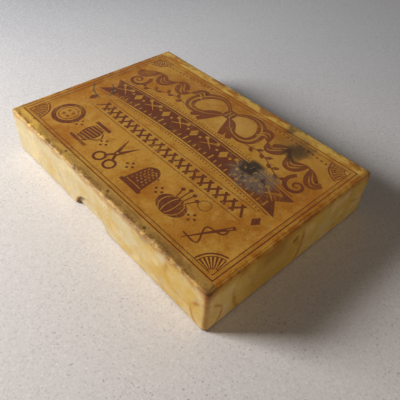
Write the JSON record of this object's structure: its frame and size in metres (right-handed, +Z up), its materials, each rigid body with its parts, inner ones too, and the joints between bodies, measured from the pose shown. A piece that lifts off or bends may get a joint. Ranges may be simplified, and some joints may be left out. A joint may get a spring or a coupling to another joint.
{
  "type": "pin box",
  "caption": "Shallow paper-covered cardboard box with a full-depth lift-off lid, thumb notches, a pasted top label and a tray of loose pins.",
  "frame": {"origin": "middle of the box's footprint, on the surface it stands on", "axes": "+X along the long walls towards the right, -Y out of the front wall, +Z up out of the label"},
  "size_m": [0.112, 0.079, 0.019],
  "materials": {
    "board": "matte",
    "stay_paper": "matte",
    "lid_cover_paper": "matte",
    "label_paper": "satin",
    "tray_cover_paper": "matte",
    "lining_paper": "matte",
    "base_paper": "matte",
    "pin_metal": "polished"
  },
  "bodies": {
    "tray": {"tray_board": "board", "tray_corner_stay_front_left": "stay_paper", "tray_corner_stay_front_right": "stay_paper", "tray_corner_stay_back_left": "stay_paper", "tray_corner_stay_back_right": "stay_paper", "tray_wrap": "tray_cover_paper", "tray_lining": "lining_paper", "tray_base_paper": "base_paper", "pins": "pin_metal"},
    "lid": {"lid_board": "board", "lid_corner_stay_front_left": "stay_paper", "lid_corner_stay_front_right": "stay_paper", "lid_corner_stay_back_left": "stay_paper", "lid_corner_stay_back_right": "stay_paper", "lid_wrap": "lid_cover_paper", "lid_label": "label_paper"}
  },
  "joints": [
    {"name": "lid_lift", "type": "slide", "parent": "tray", "child": "lid", "axis": [0, 0, 1], "range_m": [0, 0.05]}
  ]
}
